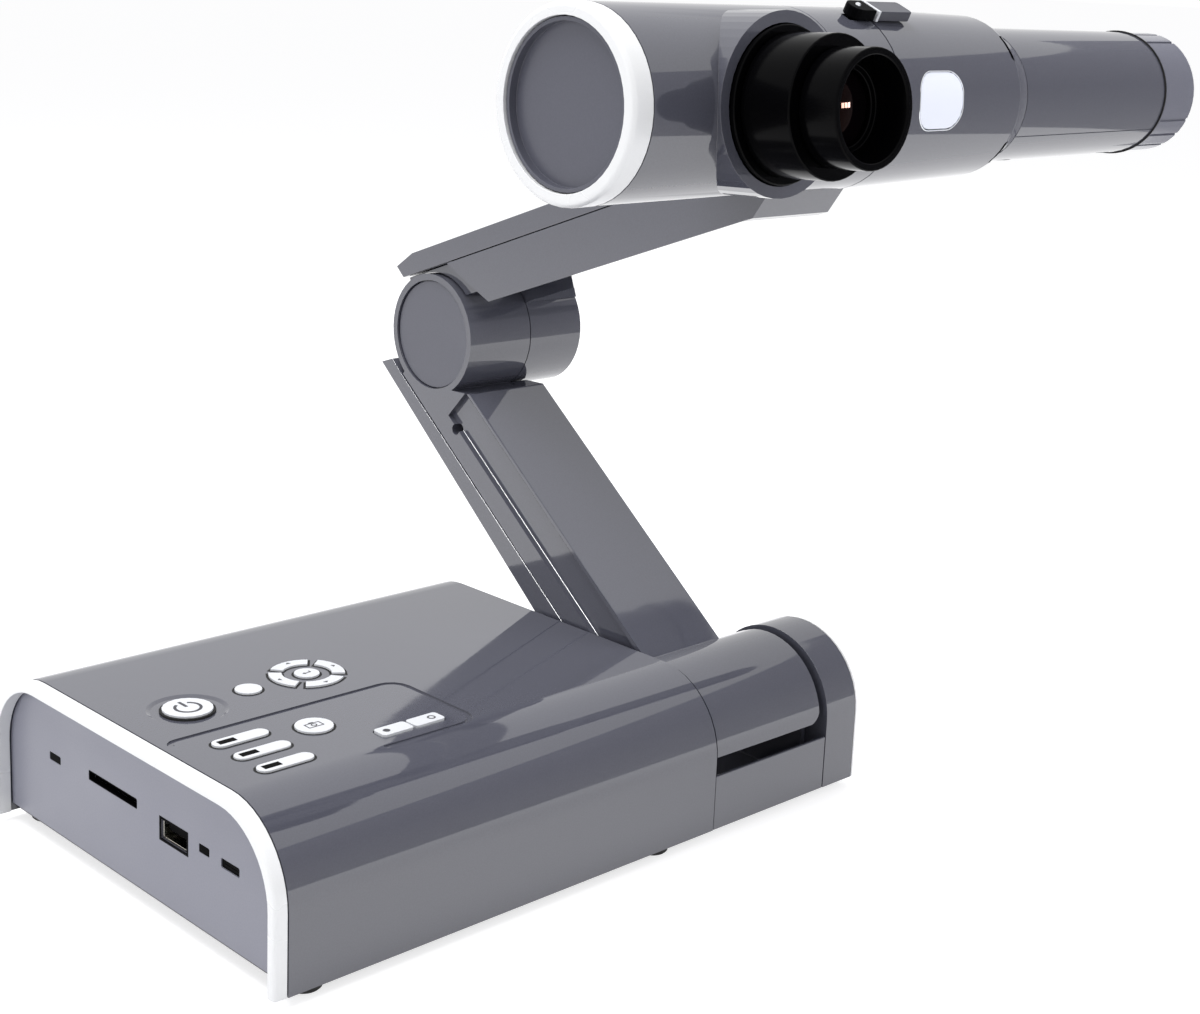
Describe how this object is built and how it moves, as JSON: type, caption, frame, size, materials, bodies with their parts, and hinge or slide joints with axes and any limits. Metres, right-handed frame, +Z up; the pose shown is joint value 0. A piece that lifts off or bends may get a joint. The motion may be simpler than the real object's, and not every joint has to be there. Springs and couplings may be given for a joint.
{
  "type": "document camera",
  "caption": "Desk document camera with a low push-button base, a folding arm and a tubular camera head that tilts in a collar at the arm's tip.",
  "frame": {"origin": "centre of the footprint of the bounding box, on the surface that the feet stand on", "axes": "+X along the base from the sockets to the arm hinge and along the camera head towards the zoom knob, +Y to the back, away from the lens, +Z up"},
  "size_m": [0.3676, 0.2394, 0.2598],
  "materials": {
    "grey_plastic": "gloss",
    "silver_trim": "satin silver paint",
    "white_key": "satin",
    "lens_plastic": "gloss",
    "dark_plastic": "matt",
    "steel": "plain",
    "circuit_board": "matt",
    "rubber": "matt",
    "lens_glass": "coated",
    "diffuser": "satin"
  },
  "bodies": {
    "base": {"top_case": "grey_plastic", "bottom_plate": "grey_plastic", "socket_panel": "grey_plastic", "near_rim": "silver_trim", "hinge_block": "grey_plastic", "hinge_cap": "grey_plastic", "hinge_trim": "silver_trim", "hinge_plate": "grey_plastic", "foot_1": "rubber", "foot_2": "rubber", "foot_3": "rubber", "foot_4": "rubber", "usb_shell": "steel", "usb_tongue": "dark_plastic", "card_socket": "dark_plastic", "remote_window": "lens_plastic", "status_window": "lens_plastic", "lock_plate": "steel", "main_board": "circuit_board", "keypad_board": "circuit_board", "ballast_plate": "steel", "hinge_shaft": "steel"},
    "lower_arm": {"lower_link": "grey_plastic", "lower_cover": "grey_plastic", "link_screw": "steel", "elbow_disc_left": "grey_plastic", "elbow_shaft": "steel"},
    "upper_arm": {"upper_link": "grey_plastic", "upper_cover": "grey_plastic", "elbow_disc_right": "grey_plastic", "head_collar": "grey_plastic"},
    "tilt_latch": {"tilt_latch": "grey_plastic"},
    "head": {"left_housing": "grey_plastic", "end_ring": "silver_trim", "end_disc": "grey_plastic", "lens_base": "lens_plastic", "lens_barrel": "lens_plastic", "lens_front": "lens_plastic", "lens_glass": "lens_glass", "sensor_board": "circuit_board", "head_axle": "dark_plastic", "right_housing": "grey_plastic", "latch_socket": "grey_plastic", "lamp_window": "diffuser", "lamp_board": "circuit_board", "grip_housing": "grey_plastic"},
    "zoom_knob": {"zoom_knob": "grey_plastic"},
    "power_button": {"power_button": "white_key"},
    "menu_button": {"menu_button": "white_key"},
    "pad_right": {"pad_right": "white_key"},
    "pad_up": {"pad_up": "white_key"},
    "pad_left": {"pad_left": "white_key"},
    "pad_down": {"pad_down": "white_key"},
    "pad_centre": {"pad_centre": "white_key"},
    "capture_button": {"capture_button": "white_key"},
    "source_key_1": {"source_key_1": "white_key"},
    "source_key_2": {"source_key_2": "white_key"},
    "source_key_3": {"source_key_3": "white_key"},
    "zoom_key_out": {"zoom_key_out": "white_key"},
    "zoom_key_in": {"zoom_key_in": "white_key"}
  },
  "joints": [
    {"name": "base_hinge", "type": "hinge", "parent": "base", "child": "lower_arm", "pos_m": [0.00575, -0.02891, 0.0265], "axis": [1, 0, 0], "range_deg": [-38, 45]},
    {"name": "elbow", "type": "hinge", "parent": "lower_arm", "child": "upper_arm", "pos_m": [0.00875, 0.09181, 0.13751], "axis": [1, 0, 0], "range_deg": [-55, 45]},
    {"name": "head_tilt", "type": "hinge", "parent": "upper_arm", "child": "head", "pos_m": [-0.00475, -0.06079, 0.23081], "axis": [1, 0, 0], "range_deg": [-20, 100]},
    {"name": "knob_turn", "type": "hinge", "parent": "head", "child": "zoom_knob", "pos_m": [0.17175, -0.06079, 0.23081], "axis": [1, 0, 0], "range_deg": [-150, 150]},
    {"name": "latch_slide", "type": "slide", "parent": "upper_arm", "child": "tilt_latch", "axis": [-1, 0, 0], "range_m": [0, 0.0025]},
    {"name": "power_button_press", "type": "slide", "parent": "base", "child": "power_button", "axis": [0, 0, -1], "range_m": [0, 0.0008], "stiffness_N_per_m": 300},
    {"name": "menu_button_press", "type": "slide", "parent": "base", "child": "menu_button", "axis": [0, 0, -1], "range_m": [0, 0.0008], "stiffness_N_per_m": 300},
    {"name": "pad_right_press", "type": "slide", "parent": "base", "child": "pad_right", "axis": [0, 0, -1], "range_m": [0, 0.0008], "stiffness_N_per_m": 300},
    {"name": "pad_up_press", "type": "slide", "parent": "base", "child": "pad_up", "axis": [0, 0, -1], "range_m": [0, 0.0008], "stiffness_N_per_m": 300},
    {"name": "pad_left_press", "type": "slide", "parent": "base", "child": "pad_left", "axis": [0, 0, -1], "range_m": [0, 0.0008], "stiffness_N_per_m": 300},
    {"name": "pad_down_press", "type": "slide", "parent": "base", "child": "pad_down", "axis": [0, 0, -1], "range_m": [0, 0.0008], "stiffness_N_per_m": 300},
    {"name": "pad_centre_press", "type": "slide", "parent": "base", "child": "pad_centre", "axis": [0, 0, -1], "range_m": [0, 0.0008], "stiffness_N_per_m": 300},
    {"name": "capture_button_press", "type": "slide", "parent": "base", "child": "capture_button", "axis": [0, 0, -1], "range_m": [0, 0.0008], "stiffness_N_per_m": 300},
    {"name": "source_key_1_press", "type": "slide", "parent": "base", "child": "source_key_1", "axis": [0, 0, -1], "range_m": [0, 0.0008], "stiffness_N_per_m": 300},
    {"name": "source_key_2_press", "type": "slide", "parent": "base", "child": "source_key_2", "axis": [0, 0, -1], "range_m": [0, 0.0008], "stiffness_N_per_m": 300},
    {"name": "source_key_3_press", "type": "slide", "parent": "base", "child": "source_key_3", "axis": [0, 0, -1], "range_m": [0, 0.0008], "stiffness_N_per_m": 300},
    {"name": "zoom_key_out_press", "type": "slide", "parent": "base", "child": "zoom_key_out", "axis": [0, 0, -1], "range_m": [0, 0.0008], "stiffness_N_per_m": 300},
    {"name": "zoom_key_in_press", "type": "slide", "parent": "base", "child": "zoom_key_in", "axis": [0, 0, -1], "range_m": [0, 0.0008], "stiffness_N_per_m": 300}
  ]
}
